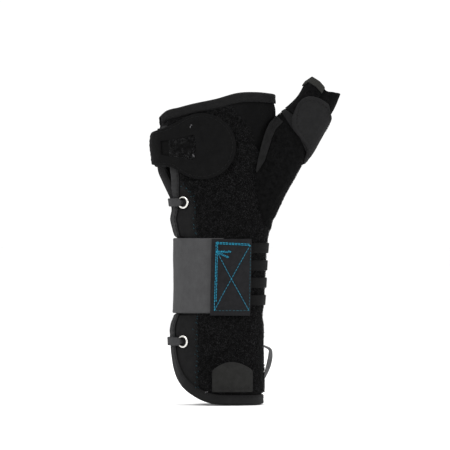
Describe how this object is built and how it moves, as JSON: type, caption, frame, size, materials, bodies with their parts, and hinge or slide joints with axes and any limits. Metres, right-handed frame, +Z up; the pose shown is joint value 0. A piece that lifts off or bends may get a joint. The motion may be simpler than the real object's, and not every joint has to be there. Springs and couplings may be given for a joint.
{
  "type": "thumb spica splint",
  "caption": "Laced wrist and thumb splint in padded black fabric, with a thumb sleeve, a round hand tab, a wide pull band and elastic laces over an open side.",
  "frame": {"origin": "centre of the wrist inside the splint, at the middle of the pull band", "axes": "+Z up the arm to the fingers, +X to the thumb side, -Y to the side with the tabs"},
  "size_m": [0.1296, 0.0617, 0.2224],
  "materials": {
    "padded_cloth": "soft knit, matt",
    "loop_pile": "fuzzy loop pile, matt",
    "binding_tape": "ribbed tape, slight sheen",
    "sleeve_cloth": "soft knit, matt",
    "strap_cloth": "brushed loop cloth, matt",
    "elastic_band": "ribbed elastic",
    "lace_elastic": "flat braided elastic",
    "tab_webbing": "woven webbing with stitching",
    "nickel": "polished nickel"
  },
  "bodies": {
    "root": {"wrap": "padded_cloth", "pile_panel": "loop_pile", "hand_end_binding": "binding_tape", "long_edge_binding": "binding_tape", "thumb_panel_binding": "binding_tape", "thumb_cuff_binding": "binding_tape", "thumb_sleeve": "sleeve_cloth", "thumb_cuff_flap": "sleeve_cloth", "thumb_strap": "strap_cloth", "thumb_strap_tab": "strap_cloth", "hand_strap": "strap_cloth", "hand_tab_hook": "strap_cloth", "hand_tab": "strap_cloth", "pull_band": "elastic_band", "lace_1": "lace_elastic", "lace_2": "lace_elastic", "lace_3": "lace_elastic", "lace_4": "lace_elastic", "pull_loop": "lace_elastic", "closure_tab": "tab_webbing", "pocket_tab": "tab_webbing", "eyelet_1": "nickel", "eyelet_2": "nickel", "eyelet_3": "nickel", "eyelet_4": "nickel"}
  },
  "joints": []
}
